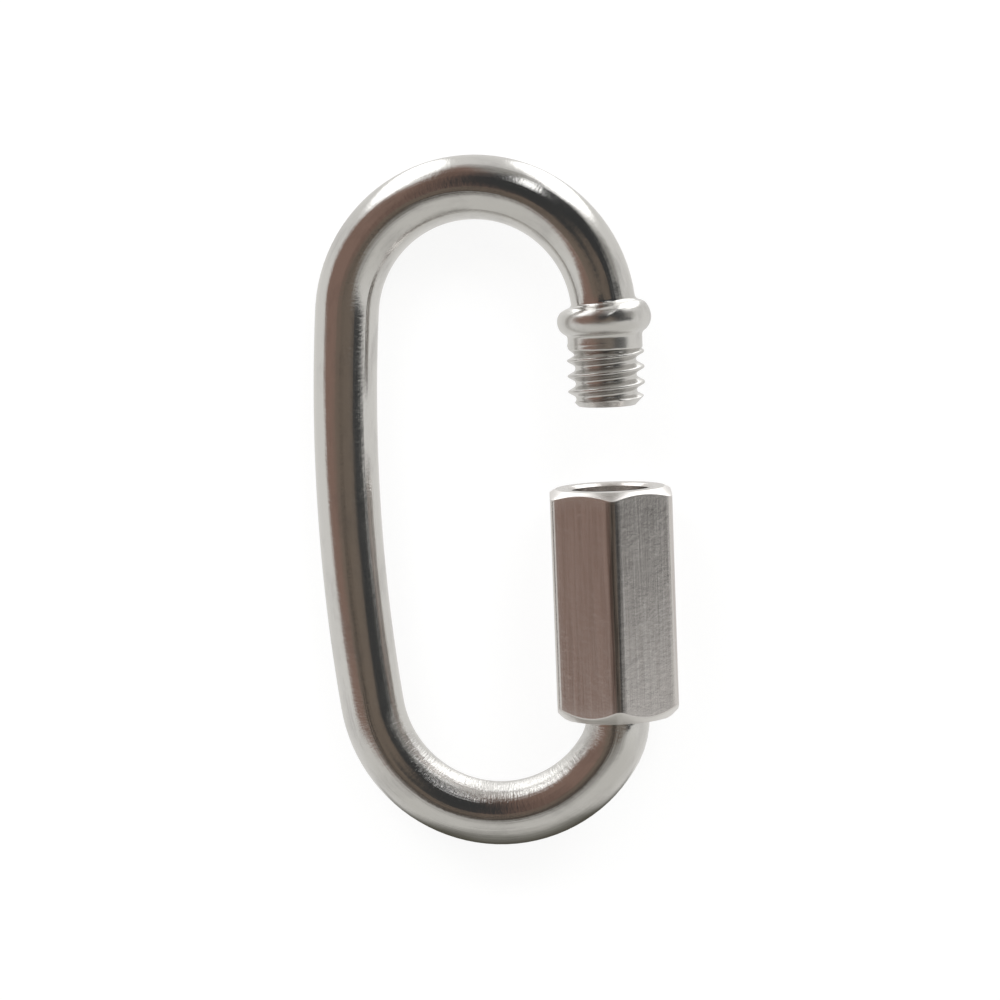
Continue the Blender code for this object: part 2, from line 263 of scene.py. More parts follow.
class Studio(bpy.types.PropertyGroup):
    """Camera, lamps, mirrored surroundings, floor and a glowing sheet that paints a shadow into the
    reflections.
    """

    camera_place: FloatVectorProperty(
        name="Camera", description="Place of the camera", default=(0.0032, 0.0262, 0.2509), unit="LENGTH"
    )
    camera_aim: FloatVectorProperty(
        name="Aim",
        description="Point in the middle of the picture",
        default=(0.0006, 0.0002, 0.004),
        unit="LENGTH",
    )
    camera_roll: angle("Roll", 2.2, "Turn of the camera about its own axis")
    focal_length: FloatProperty(
        name="Focal length", description="Lens, on a 36 mm sensor", default=107.4, unit="CAMERA"
    )
    surround: colour("Surround", (0.60, 0.60, 0.59), "Even light that falls on the floor from all sides")
    backdrop: colour("Backdrop", (0.97, 0.97, 0.97), "What the camera sees behind everything")
    room: colour("Room", (0.84, 0.83, 0.81), "Light grey room that the metal mirrors")
    # Painted shadow: the sheet's two tones, darkest at its foot, stand in for a shadow on the floor that the
    # metal mirrors.
    shadow_sheet_foot: colour("Apron, foot", (0.09, 0.085, 0.065), "Foot of the cloth before the bottom bend")
    shadow_sheet_top: colour("Apron, top", (0.56, 0.55, 0.52), "Upper edge of that cloth")
    low_room: colour("Low room", (0.68, 0.67, 0.64), "The room in front of the link, a little dimmer")
    haze: colour("Haze", (0.36, 0.35, 0.33), "Soft grey beyond the dark cards")
    smoke: colour("Smoke", (0.06, 0.06, 0.058), "Dark grey low on the nut's side")
    rust: colour("Rust", (0.18, 0.117, 0.095), "Reddish rim between the brown card and the dark one")
    umber: colour("Umber", (0.07, 0.057, 0.048), "Dark lower rim of the dark card")
    shade: colour("Shade", (0.19, 0.152, 0.122), "Dim brown round the camera that the metal mirrors")
    brown_card: colour("Brown card", (0.27, 0.178, 0.145), "Card that gives the warm reflections")
    black_card: colour("Black card", (0.045, 0.046, 0.047), "Card that gives the dark reflections")
    panel: colour("Light panel", (2.2, 2.2, 2.2), "Light panels that give the white reflections")
    floor_paint: colour("Floor paint", (0.30, 0.30, 0.30), "Part of the floor's white that takes the shadow")
    floor_glow: share("Floor glow", 0.80, "Part of the floor's white that stays in the shadow")
    lamp_light: share("Lamp light", 3.0, "Brightness of the two lamps")


class LinkForm:
    """Sizes that follow from the settings, and the bend that lays the straight bar on its arcs."""

    def __init__(self, scene):
        rod, thread = scene.quick_link_rod, scene.quick_link_thread
        collar, nut = scene.quick_link_collar, scene.quick_link_nut
        self.rod, self.thread, self.collar, self.nut = rod, thread, collar, nut
        self.rod_radius = rod.diameter / 2
        self.top_radius = (rod.inside_width + rod.diameter) / 2
        self.bead_z = -collar.setback
        self.bead_centre_radius = collar.diameter / 2 - collar.bead_radius
        self.neck_radius = collar.neck_diameter / 2
        self.crest_radius = thread.diameter / 2
        self.root_radius = self.crest_radius - thread.depth
        self.neck_top_z = self.bead_z - self.bead_reach(self.neck_radius)
        self.upper_thread_z = self.neck_top_z - collar.neck_length
        self.upper_tip_z = self.upper_thread_z - thread.upper_length
        seat_z = self.bead_z - self.bead_reach(nut.mouth_diameter / 2)
        self.nut_top_z = seat_z - nut.seat_clearance - nut.turns_to_close * thread.pitch
        self.nut_bottom_z = self.nut_top_z - nut.length
        self.lower_tip_z = self.nut_top_z - thread.tip_recess
        self.lower_thread_z = self.lower_tip_z - thread.lower_length
        self.arcs = self.tangent_arcs()
        self.bent_length = self.arcs[-1]["end"]

    def bead_reach(self, radius):
        """Half the collar's height where it is this far from the axis."""
        offset = radius - self.bead_centre_radius
        return math.sqrt(max(self.collar.bead_radius**2 - offset**2, 0.0))

    def tangent_arcs(self):
        """The four arcs that close on the axis, each with its radius, centre, first heading and stretch."""
        rod = self.rod
        start = math.pi / 2
        top_end = start + rod.top_turn
        back_end = top_end + rod.back_turn
        end = start + 2 * math.pi
        heel_start = end - rod.heel_turn
        headings = [start, top_end, back_end, heel_start, end]
        across = Vector((math.sin(back_end) - math.sin(top_end), math.sin(heel_start) - math.sin(back_end)))
        along = Vector((math.cos(top_end) - math.cos(back_end), math.cos(back_end) - math.cos(heel_start)))
        across_left = self.top_radius * (math.sin(start) - math.sin(top_end))
        across_left += rod.heel_radius * (math.sin(heel_start) - math.sin(end))
        along_left = self.nut_bottom_z - self.top_radius * (math.cos(start) - math.cos(top_end))
        along_left -= rod.heel_radius * (math.cos(heel_start) - math.cos(end))
        back_radius, bottom_radius = Matrix((across, along)).inverted() @ Vector((across_left, along_left))
        radii = [self.top_radius, back_radius, bottom_radius, rod.heel_radius]
        arcs = []
        point = Vector((0.0, 0.0))
        run = 0.0
        for radius, first, last in zip(radii, headings, headings[1:]):
            centre = point + radius * Vector((-math.sin(first), math.cos(first)))
            arc = {"radius": radius, "centre": centre, "first": first, "start": run}
            run += radius * (last - first)
            arc["end"] = run
            arcs.append(arc)
            point = centre + radius * Vector((math.sin(last), -math.cos(last)))
        return arcs

    def arc_at(self, run):
        """The arc that this point of the bar is bent to, or nothing on the straight ends."""
        for arc in self.arcs:
            if arc["start"] < run <= arc["end"]:
                return arc
        return None

    def bent(self, point):
        """Where a point of the straight bar lies after bending. The bar's run is the point's z."""
        arc = self.arc_at(point.z)
        if arc:
            heading = arc["first"] + (point.z - arc["start"]) / arc["radius"]
            reach = arc["radius"] + point.x
            across = arc["centre"].x + reach * math.sin(heading)
            return Vector((across, point.y, arc["centre"].y - reach * math.cos(heading)))
        if point.z > self.bent_length:
            return Vector((point.x, point.y, point.z - self.bent_length + self.nut_bottom_z))
        return point.copy()

    def squeeze(self, point):
        """How much bending shortens the bar here: above zero inside a bend, below zero outside it."""
        samples = [point.z + offset * self.rod_radius for offset in SQUEEZE_SAMPLES]
        arcs = [self.arc_at(run) for run in samples]
        return -point.x * sum(1 / arc["radius"] for arc in arcs if arc) / len(samples)

    def axis_matrix(self):
        """From the nut's own frame, whose Z is the thread axis, to the world."""
        middle = (NUT_LOW + NUT_HIGH) / 2
        place = Vector((middle.x, NUT_HIGH.y - self.nut_top_z, middle.z))
        return Matrix.Translation(place) @ Matrix.Rotation(-math.pi / 2, 4, "X")

    def tilt(self):
        """How far the oval leans over from level, to rest on its back."""
        middle = (NUT_LOW + NUT_HIGH) / 2
        back = middle.x - ROD_LOW.x - self.rod_radius
        return math.atan2(middle.z - self.rod_radius, back)

    def plane_matrix(self):
        """From the frame of the oval's plane to the world."""
        return self.axis_matrix() @ Matrix.Rotation(-self.tilt(), 4, "Z")

    def rolled_turn(self):
        """One turn of the rolled thread as (radius, height) points: round root, flanks, narrow crest."""
        thread = self.thread
        slope = math.tan(thread.flank)
        half_root = thread.pitch / 2 - thread.crest / 2 - thread.depth * slope
        fillet = half_root / (math.cos(thread.flank) - (1 - math.sin(thread.flank)) * slope)
        rise = []
        for index in range(ROOT_STEPS + 1):
            turn = (math.pi / 2 - thread.flank) * index / ROOT_STEPS
            rise.append((self.root_radius + fillet * (1 - math.cos(turn)), fillet * math.sin(turn)))
        crest = (self.crest_radius, thread.pitch / 2 - thread.crest / 2)
        root_end = rise[-1]
        for part in FLANK_POINTS:
            radius = root_end[0] + (crest[0] - root_end[0]) * part
            rise.append((radius, root_end[1] + (crest[1] - root_end[1]) * part))
        rise.append((crest[0] - CREST_BREAK[0], crest[1] + CREST_BREAK[1]))
        rise.append((crest[0], thread.pitch / 2 - thread.crest / 5))
        return rise + [(radius, thread.pitch - height) for radius, height in reversed(rise)]

    def tapped_turn(self):
        """One turn of the nut's thread as (radius, height) points, clear of the rod's thread."""
        nut, thread = self.nut, self.thread
        points = []
        for index in range(TAPPED_STEPS + 1):
            height = thread.pitch * index / TAPPED_STEPS
            away = abs(height - thread.pitch / 2) - thread.crest / 2 - nut.play
            radius = self.crest_radius - away / math.tan(thread.flank)
            points.append((min(max(radius, nut.minor_diameter / 2), nut.major_diameter / 2), height))
        return points


def at_radius(point, radius, height):
    """The place in the same direction from the axis, at this radius and height."""
    factor = radius / math.hypot(point.x, point.y)
    return Vector((point.x * factor, point.y * factor, height))


def spread(bm, verts, radius_of):
    """Move points straight in or out to the radius that a rule gives them."""
    for vert in verts:
        radius = math.hypot(vert.co.x, vert.co.y)
        factor = radius_of(vert.co, radius) / radius
        vert.co.x *= factor
        vert.co.y *= factor


def arc_points(centre, radius, first, last, count):
    """Points on an arc in the (radius, height) plane of a turned profile."""
    points = []
    for index in range(count + 1):
        turn = first + (last - first) * index / count
        points.append((centre[0] + radius * math.cos(turn), centre[1] + radius * math.sin(turn)))
    return points


def spin_profile(bm, profile, steps, rise=0.0, turns=1):
    """Spin a profile about Z into a turned shape, or into a helix if it rises."""
    verts = [bm.verts.new((radius, 0.0, height)) for radius, height in profile]
    edges = [bm.edges.new(pair) for pair in zip(verts, verts[1:])]
    bmesh.ops.spin(
        bm,
        geom=verts + edges,
        cent=(0.0, 0.0, 0.0),
        axis=(0.0, 0.0, 1.0),
        dvec=(0.0, 0.0, rise / steps),
        angle=2 * math.pi * turns,
        steps=steps * turns,
        use_merge=rise == 0.0,
    )


def helix_tube(turn, pitch, low, high, steps):
    """A threaded tube on the common helix, cut square at both heights."""
    bm = bmesh.new()
    first = math.floor(low / pitch) - 1
    turns = math.ceil(high / pitch) + 1 - first
    spin_profile(bm, [(radius, first * pitch + height) for radius, height in turn], steps, pitch, turns)
    bmesh.ops.remove_doubles(bm, verts=bm.verts, dist=MERGE_DISTANCE)
    for height, side in ((low, -1.0), (high, 1.0)):
        bmesh.ops.bisect_plane(
            bm,
            geom=bm.verts[:] + bm.edges[:] + bm.faces[:],
            dist=CUT_SNAP,
            plane_co=(0.0, 0.0, height),
            plane_no=(0.0, 0.0, side),
            clear_outer=True,
        )
    return bm


def take_in(bm, other, lift=0.0):
    """Add another bmesh to this one, moved along the bar, and free it."""
    mesh = bpy.data.meshes.new("taken_in")
    other.to_mesh(mesh)
    other.free()
    mesh.transform(Matrix.Translation((0.0, 0.0, lift)))
    bm.from_mesh(mesh)
    bpy.data.meshes.remove(mesh)


def rim_at(bm, height):
    """The open edges that lie at this height."""
    rim = [edge for edge in bm.edges if edge.is_boundary]
    return [edge for edge in rim if all(abs(vert.co.z - height) < RIM_TOLERANCE for vert in edge.verts)]


def grow_rim(bm, edges, place):
    """Extrude an open rim and put each new point where a rule says. Gives the new rim."""
    made = bmesh.ops.extrude_edge_only(bm, edges=edges)["geom"]
    verts = [item for item in made if isinstance(item, bmesh.types.BMVert)]
    for vert in verts:
        vert.co = place(vert)
    fresh = set(verts)
    return [item for item in made if isinstance(item, bmesh.types.BMEdge) and fresh.issuperset(item.verts)]


def bridge(bm, first, second):
    bmesh.ops.bridge_loops(bm, edges=first + second)


def collar_and_bar(form, neck_end, bar_end):
    """The turned blank between the two threads: neck, bead, fillets and the long plain bar."""
    collar = form.collar
    bead = (form.bead_centre_radius, form.bead_z)
    reach = collar.bead_radius + collar.fillet

    def hollow(radius, side):
        centre_radius = radius + collar.fillet
        height = math.sqrt(reach**2 - (centre_radius - bead[0]) ** 2)
        return (centre_radius, bead[1] + side * height)

    upper = hollow(form.rod_radius, 1)
    lower = hollow(form.neck_radius, -1)
    upper_turn = math.atan2(upper[1] - bead[1], upper[0] - bead[0])
    lower_turn = math.atan2(lower[1] - bead[1], lower[0] - bead[0])
    profile = [(form.neck_radius, neck_end), (form.neck_radius, (neck_end + lower[1]) / 2)]
    profile += arc_points(lower, collar.fillet, math.pi, lower_turn + math.pi, FILLET_STEPS)
    profile += arc_points(bead, collar.bead_radius, lower_turn, upper_turn, BEAD_STEPS)[1:]
    profile += arc_points(upper, collar.fillet, upper_turn + math.pi, math.pi, FILLET_STEPS)[1:]
    bar_start = upper[1]
    count = math.ceil((bar_end - bar_start) / form.rod.ring_step)
    for index in range(1, count + 1):
        profile.append((form.rod_radius, bar_start + (bar_end - bar_start) * index / count))
    bm = bmesh.new()
    spin_profile(bm, profile, form.rod.sides)
    bmesh.ops.remove_doubles(bm, verts=bm.verts, dist=MERGE_DISTANCE)
    return bm


def roughen_bead(bm, form):
    """Upsetting leaves the bead uneven, with a few lumps along its upper side."""
    collar = form.collar
    for vert in bm.verts:
        away = abs(vert.co.z - form.bead_z) / (collar.bead_radius + collar.fillet)
        if away >= 1.0:
            continue
        fade = 1.0 - away**4
        outward = Vector((vert.co.x, vert.co.y, 0.0)).normalized()
        slow = noise.noise(vert.co * SLOW_LUMPS + Vector((3.1, 0.0, 7.7)))
        quick = noise.noise(vert.co * QUICK_LUMPS + Vector((0.0, 5.3, 1.9)))
        upper = min(max((vert.co.z - form.bead_z) / collar.bead_radius, 0.0), 1.0)
        lumps = max(quick - LUMP_START, 0.0) * (LUMPS_BELOW + upper)
        vert.co += outward * fade * collar.lump * (SLOW_SHARE * slow + QUICK_SHARE * lumps)
        vert.co.z += fade * vert.co.x * math.tan(collar.lean)


def rolled_thread(form, tip_z, seat_z, seat_radius):
    """One threaded end: rolled profile, chamfered tip, closed end face, and a runout towards the bar."""
    thread = form.thread
    side = 1.0 if seat_z > tip_z else -1.0
    end_z = seat_z + side * (thread.runout - JOIN_GAP)
    low, high = sorted((tip_z, end_z))
    bm = helix_tube(form.rolled_turn(), thread.pitch, low, high, form.rod.sides)

    def radius_of(point, radius):
        from_tip = abs(point.z - tip_z)
        from_end = abs(point.z - end_z)
        nick = noise.noise(Vector((point.x, point.y, point.z * NICK_STRETCH)) * NICK_SCALE)
        crest = max((radius - form.root_radius) / thread.depth, 0.0)
        radius += THREAD_NICKS * nick * crest**2
        rise = min(from_end / thread.runout, 1.0)
        fall = min(max(from_end / thread.runout - ROOT_FALL_START, 0.0) / ROOT_FALL_SPAN, 1.0)
        floor = seat_radius + (form.root_radius - seat_radius) * fall
        ceiling = seat_radius + (form.crest_radius + THREAD_NICKS - seat_radius) * rise
        chamfer = thread.tip_diameter / 2 + from_tip
        return min(max(radius, floor), ceiling, chamfer)

    spread(bm, bm.verts, radius_of)
    rim = rim_at(bm, tip_z)
    for width, bulge in TIP_RINGS:
        height = tip_z - side * bulge * MM
        radius = width * thread.tip_diameter / 2
        rim = grow_rim(bm, rim, lambda vert: at_radius(vert.co, radius, height))
    bmesh.ops.edgeloop_fill(bm, edges=rim)
    return bm


def rod_mesh(form):
    """The whole rod as a straight bar with its collar and both threads."""
    thread = form.thread
    shank = form.bent_length - form.nut_bottom_z
    neck_end = form.upper_thread_z + thread.runout
    shank_end = form.lower_thread_z - thread.runout
    bm = collar_and_bar(form, neck_end, shank_end + shank)
    roughen_bead(bm, form)
    take_in(bm, rolled_thread(form, form.upper_tip_z, form.upper_thread_z, form.neck_radius))
    take_in(bm, rolled_thread(form, form.lower_tip_z, form.lower_thread_z, form.rod_radius), shank)
    bridge(bm, rim_at(bm, neck_end), rim_at(bm, neck_end - JOIN_GAP))
    bridge(bm, rim_at(bm, shank_end + shank), rim_at(bm, shank_end + JOIN_GAP + shank))
    return bm


def bend(bm, form):
    """Bend the straight bar. Each point keeps its straight place, its squeeze and its share of draw lines."""
    straight = bm.verts.layers.float_vector.new("straight")
    squeeze = bm.verts.layers.float.new("squeeze")
    drawn = bm.verts.layers.float.new("drawn")
    shank = form.bent_length - form.nut_bottom_z + form.lower_thread_z
    for vert in bm.verts:
        vert[straight] = vert.co
        vert[squeeze] = form.squeeze(vert.co) * (TOP_WRINKLES if vert.co.z < form.arcs[0]["end"] else 1.0)
        vert[drawn] = 1.0 if form.collar.fillet < vert.co.z < shank else TURNED_LINES
        vert.co = form.bent(vert.co)


def hexagon_outline(bm, form):
    """The nut's section: a hexagon with rounded corners, its sides cut into short edges. Corners on Y."""
    nut = form.nut
    corner = nut.across_flats / math.sqrt(3)
    bmesh.ops.create_circle(bm, cap_ends=True, segments=6, radius=corner)
    bmesh.ops.bevel(
        bm,
        geom=bm.verts[:],
        offset=nut.corner_radius * math.tan(math.pi / 6),
        offset_type="OFFSET",
        segments=CORNER_SEGMENTS,
        profile=0.5,
        affect="VERTICES",
        material=-1,
    )
    sides = [edge for edge in bm.edges if edge.calc_length() > corner / 2]
    bmesh.ops.subdivide_edges(bm, edges=sides, cuts=FLAT_CUTS)
    bmesh.ops.delete(bm, geom=bm.faces[:], context="FACES_ONLY")
    return bm.edges[:]


def nut_mesh(form):
    """The nut, from the outside in: flats, scalloped chamfers, end rings, counterbore and tapped bore."""
    nut = form.nut
    top, bottom = form.nut_top_z, form.nut_bottom_z
    bm = bmesh.new()

    def on_flats(vert, part):
        past_ring = max(math.hypot(vert.co.x, vert.co.y) - nut.end_diameter / 2, 0.0)
        upper_edge = top - past_ring * math.tan(nut.chamfer_angle)
        lower_edge = bottom + past_ring * math.tan(nut.lower_chamfer)
        return Vector((vert.co.x, vert.co.y, upper_edge * (1 - part) + lower_edge * part))

    rim = hexagon_outline(bm, form)
    for vert in bm.verts:
        vert.co = on_flats(vert, 0.0)
    first_rim = rim
    sharp = set(rim)
    between_ends = [index / FLAT_RINGS for index in range(1, FLAT_RINGS)]
    for part in (FLAT_SUPPORT, *between_ends, 1 - FLAT_SUPPORT, 1.0):
        rim = grow_rim(bm, rim, lambda vert: on_flats(vert, part))
    sharp.update(rim)
    counterbore_end = top - nut.counterbore_depth
    lead = (nut.mouth_diameter - nut.counterbore) / 2
    steps = (
        (nut.end_diameter / 2, top, True),
        (nut.mouth_diameter / 2, top, True),
        (nut.counterbore / 2, top - lead, False),
        (nut.counterbore / 2, counterbore_end, False),
    )
    upper = first_rim
    for radius, height, is_sharp in steps:
        upper = grow_rim(bm, upper, lambda vert: at_radius(vert.co, radius, height))
        if is_sharp:
            sharp.update(upper)
    lower = rim
    for radius in (nut.end_diameter / 2, nut.mouth_diameter / 2):
        lower = grow_rim(bm, lower, lambda vert: at_radius(vert.co, radius, bottom))
        sharp.update(lower)
    bmesh.ops.bevel(
        bm,
        geom=list(sharp),
        offset=nut.edge,
        offset_type="OFFSET",
        segments=2,
        profile=0.5,
        affect="EDGES",
        material=-1,
    )
    mouth_lead = (nut.mouth_diameter - nut.major_diameter) / 2
    thread_top = counterbore_end - (nut.counterbore - nut.major_diameter) / 2
    thread_bottom = bottom + mouth_lead
    tapped = helix_tube(form.tapped_turn(), form.thread.pitch, thread_bottom, thread_top, TAPPED_SIDES)

    def tapped_inside(point, radius):
        from_counterbore = nut.counterbore / 2 - (counterbore_end - point.z)
        from_mouth = nut.mouth_diameter / 2 - (point.z - bottom)
        return max(radius, from_counterbore, from_mouth)

    spread(tapped, tapped.verts, tapped_inside)
    bmesh.ops.rotate(tapped, verts=tapped.verts, matrix=Matrix.Rotation(-form.tilt(), 3, "Z"))
    take_in(bm, tapped)
    bridge(bm, rim_at(bm, counterbore_end), rim_at(bm, thread_top))
    left_open = [edge for edge in bm.edges if edge.is_boundary]
    mouth = [edge for edge in left_open if all(vert.co.z < bottom + mouth_lead / 2 for vert in edge.verts)]
    bridge(bm, mouth, rim_at(bm, thread_bottom))
    return bm


def keep_wear_and_painted_shade(bm, form):
    """Where the nut is turned bright, and where its upper corner, the one facing up, gets a painted dark
    reflection, from 0 to 1.
    """
    nut = form.nut
    wear = bm.verts.layers.float.new("wear")
    # Painted shade: the "scale" layer marks a dark reflection painted on the corner facing up.
    scale = bm.verts.layers.float.new("scale")
    flat = nut.across_flats / 2
    round_start = math.hypot(flat, flat * math.tan(math.pi / 6) - nut.corner_radius * math.tan(math.pi / 6))
    for vert in bm.verts:
        radius = math.hypot(vert.co.x, vert.co.y)
        if radius < nut.end_diameter / 2 - nut.edge:
            continue
        past_ring = radius - nut.end_diameter / 2
        from_upper = form.nut_top_z - vert.co.z - past_ring * math.tan(nut.chamfer_angle)
        from_lower = vert.co.z - form.nut_bottom_z - past_ring * math.tan(nut.lower_chamfer)
        from_end = min(from_upper, from_lower)
        vert[wear] = 1 - min(abs(from_end) / BRIGHT_BAND, 1.0)
        on_corner = radius > round_start - CORNER_MARGIN and vert.co.y < -FACING_UP * radius
        vert[scale] = 1.0 if on_corner and from_end > PAINTED_SHADE_START else 0.0


def object_from(name, bm, matrix, sharp):
    """Finish a bmesh as an object at the origin, its place in its mesh and its faces pointing out."""
    bmesh.ops.recalc_face_normals(bm, faces=bm.faces)
    if bm.calc_volume(signed=True) < 0:
        bmesh.ops.reverse_faces(bm, faces=bm.faces)
    mesh = bpy.data.meshes.new(name)
    bm.to_mesh(mesh)
    bm.free()
    mesh.transform(matrix)
    mesh.shade_smooth()
    mesh.set_sharp_from_angle(angle=sharp)
    made = bpy.data.objects.new(name, mesh)
    bpy.context.scene.collection.objects.link(made)
    return made


def node(tree, kind, inputs=None, **settings):
    """Add a shader node, set its own settings, and set its inputs or link them to other nodes' sockets."""
    made = tree.nodes.new(kind)
    for name, value in settings.items():
        setattr(made, name, value)
    for name, value in (inputs or {}).items():
        if isinstance(value, bpy.types.NodeSocket):
            tree.links.new(value, made.inputs[name])
        else:
            made.inputs[name].default_value = value
    return made


def calculate(tree, operation, *values):
    return node(tree, "ShaderNodeMath", dict(enumerate(values)), operation=operation).outputs[0]


def grain(tree, place, scale, detail=3.0, roughness=0.5):
    """Noise from 0 to 1, its pattern scaled on each axis, in turns to the metre."""
    placed = node(tree, "ShaderNodeMapping", {"Vector": place, "Scale": scale}).outputs["Vector"]
    inputs = {"Vector": placed, "Scale": 1.0, "Detail": detail, "Roughness": roughness}
    return node(tree, "ShaderNodeTexNoise", inputs).outputs["Fac"]


def between(tree, value, low, high, to_low=0.0, to_high=1.0):
    """Stretch a stretch of values over another, smoothly, and hold it there beyond its ends."""
    inputs = {"Value": value, "From Min": low, "From Max": high, "To Min": to_low, "To Max": to_high}
    return node(tree, "ShaderNodeMapRange", inputs, interpolation_type="SMOOTHSTEP").outputs["Result"]


def blend_colours(tree, factor, *tones):
    """Mix two tones, each a colour or a socket."""
    inputs = {0: factor}
    for number, tone in enumerate(tones, 6):
        inputs[number] = tone if isinstance(tone, bpy.types.NodeSocket) else (*tone, 1.0)
    return node(tree, "ShaderNodeMix", inputs, data_type="RGBA").outputs[2]


def bump(tree, height, distance, under=None):
    inputs = {"Height": height, "Distance": distance, "Strength": 1.0}
    if under:
        inputs["Normal"] = under
    return node(tree, "ShaderNodeBump", inputs).outputs["Normal"]


def new_material(name):
    material = bpy.data.materials.new(name)
    material.use_nodes = True
    material.node_tree.nodes.clear()
    return material, material.node_tree


def end_at(tree, shader, output="ShaderNodeOutputMaterial"):
    node(tree, output, {"Surface": shader})


def polished_steel(finish):
    """Bright drawn steel. Its grain follows the straight bar, so it runs round the bends with the metal."""
    material, tree = new_material("polished_steel")
    place = node(tree, "ShaderNodeAttribute", attribute_name="straight").outputs["Vector"]
    squeeze = node(tree, "ShaderNodeAttribute", attribute_name="squeeze").outputs["Fac"]
    drawn = node(tree, "ShaderNodeAttribute", attribute_name="drawn").outputs["Fac"]
    draw_lines = grain(tree, place, (4200.0, 4200.0, 60.0), 4.0, 0.6)
    swell = grain(tree, place, (420.0, 420.0, 300.0), 2.0)
    peel = grain(tree, place, (900.0, 900.0, 5200.0), 3.0, 0.65)
    pecks = grain(tree, place, (2500.0, 2500.0, 4200.0), 3.0, 0.6)
    stain = grain(tree, place, (420.0, 420.0, 210.0), 5.0, 0.6)
    squeezed = between(tree, squeeze, 0.05, 0.2)
    stretched = between(tree, squeeze, -0.18, -0.05, 1.0, 0.25)
    crackle = calculate(tree, "MULTIPLY", peel, squeezed)
    lines = calculate(tree, "MULTIPLY", draw_lines, drawn)
    normal = bump(tree, calculate(tree, "MULTIPLY", swell, stretched), SWELL)
    normal = bump(tree, crackle, CRACKLE, normal)
    normal = bump(tree, pecks, PECKS, normal)
    normal = bump(tree, lines, DRAW_LINES, normal)
    stained = between(tree, stain, 0.45, 0.75)
    lined = between(tree, draw_lines, 0.3, 0.7, 0.5, 1.0)
    dull = calculate(tree, "MULTIPLY", stained, lined)
    matt_stain = calculate(tree, "MULTIPLY", dull, 0.08)
    matt_ends = between(tree, drawn, 0.0, 1.0, 0.15, 0.0)
    matt = calculate(tree, "MAXIMUM", matt_stain, matt_ends)
    roughness = calculate(tree, "ADD", matt, finish.rod_polish)
    inputs = {
        "Base Color": blend_colours(tree, dull, finish.rod_light, finish.rod_dark),
        "Metallic": 1.0,
        "Roughness": roughness,
        "Normal": normal,
    }
    end_at(tree, node(tree, "ShaderNodeBsdfPrincipled", inputs).outputs["BSDF"])
    return material


def satin_steel(finish):
    """Drawn hexagon bar: fine grain along the nut, small knocks and scratches, edges rubbed bright, and a
    painted dark reflection on the corner facing up.
    """
    material, tree = new_material("satin_steel")
    place = node(tree, "ShaderNodeTexCoord").outputs["Object"]
    wear = node(tree, "ShaderNodeAttribute", attribute_name="wear").outputs["Fac"]
    # The "scale" attribute is the painted dark reflection on the corner facing up.
    scale = node(tree, "ShaderNodeAttribute", attribute_name="scale").outputs["Fac"]
    drawn = grain(tree, place, (3600.0, 90.0, 3600.0), 4.0, 0.65)
    mottle = grain(tree, place, (1700.0, 2300.0, 1700.0), 4.0, 0.65)
    patches = grain(tree, place, (260.0, 150.0, 260.0), 3.0, 0.55)
    scratches = between(tree, mottle, 0.55, 0.7, 0.0, 0.5)
    scratched = calculate(tree, "MULTIPLY", scratches, between(tree, patches, 0.4, 0.6))
    bright = calculate(tree, "MAXIMUM", scratched, between(tree, drawn, 0.35, 0.65, 0.0, 0.4))
    bright = calculate(tree, "MAXIMUM", bright, wear)
    # Painted reflection: darkens the corner facing up, broken a little by the grain.
    painted_corner_shade = calculate(tree, "MULTIPLY", scale, between(tree, drawn, 0.35, 0.6, 1.0, 0.5))
    tone = blend_colours(tree, bright, finish.nut_dark, finish.nut_light)
    tone = blend_colours(tree, painted_corner_shade, tone, finish.nut_painted_shade)
    knocks = calculate(tree, "MULTIPLY", mottle, between(tree, patches, 0.3, 0.6, 0.3, 1.0))
    normal = bump(tree, patches, PATCHES)
    normal = bump(tree, knocks, KNOCKS, normal)
    normal = bump(tree, drawn, NUT_GRAIN, normal)
    polish = between(tree, wear, 0.0, 1.0, finish.nut_polish, 0.3)
    roughness = calculate(tree, "MULTIPLY_ADD", mottle, 0.08, polish)
    inputs = {
        "Base Color": tone,
        "Metallic": 1.0,
        "Roughness": roughness,
        "Normal": normal,
    }
    end_at(tree, node(tree, "ShaderNodeBsdfPrincipled", inputs).outputs["BSDF"])
    return material


def sky_map(tree):
    """Each direction as a point on a round map: degrees from the zenith, towards +X and +Y."""
    direction = node(tree, "ShaderNodeTexCoord").outputs["Generated"]
    x, y, z = node(tree, "ShaderNodeSeparateXYZ", {0: direction}).outputs
    level = calculate(tree, "SQRT", calculate(tree, "SUBTRACT", 1.0, calculate(tree, "MULTIPLY", z, z)))
    polar = calculate(tree, "DEGREES", calculate(tree, "ARCCOSINE", z))
    stretch = calculate(tree, "DIVIDE", polar, calculate(tree, "MAXIMUM", level, 0.001))
    across = calculate(tree, "MULTIPLY", x, stretch)
    up = calculate(tree, "MULTIPLY", y, stretch)
    return node(tree, "ShaderNodeCombineXYZ", {0: across, 1: up}).outputs[0]


def lay_card(tree, place, below, tone, centre, half, turn, soft):
    """Lay an oval card with soft edges over what is below it on the map. Centre and half size in degrees."""
    inputs = {
        "Vector": place,
        "Location": (*centre, 0.0),
        "Rotation": (0.0, 0.0, math.radians(turn)),
        "Scale": (*half, 1.0),
    }
    on_card = node(tree, "ShaderNodeMapping", inputs, vector_type="TEXTURE").outputs["Vector"]
    reach = node(tree, "ShaderNodeVectorMath", {0: on_card}, operation="LENGTH").outputs["Value"]
    cover = between(tree, reach, 1.0 - soft, 1.0 + soft, 1.0, 0.0)
    return blend_colours(tree, cover, below, tone)


def mirrored_tones(tree, studio):
    """What the bright metal mirrors: a light grey room with dark, brown and grey cards and white panels."""
    place = sky_map(tree)
    tone = studio.room
    for name, centre, half, turn, soft in CARDS:
        tone = lay_card(tree, place, tone, getattr(studio, name), centre, half, turn, soft)
    return tone


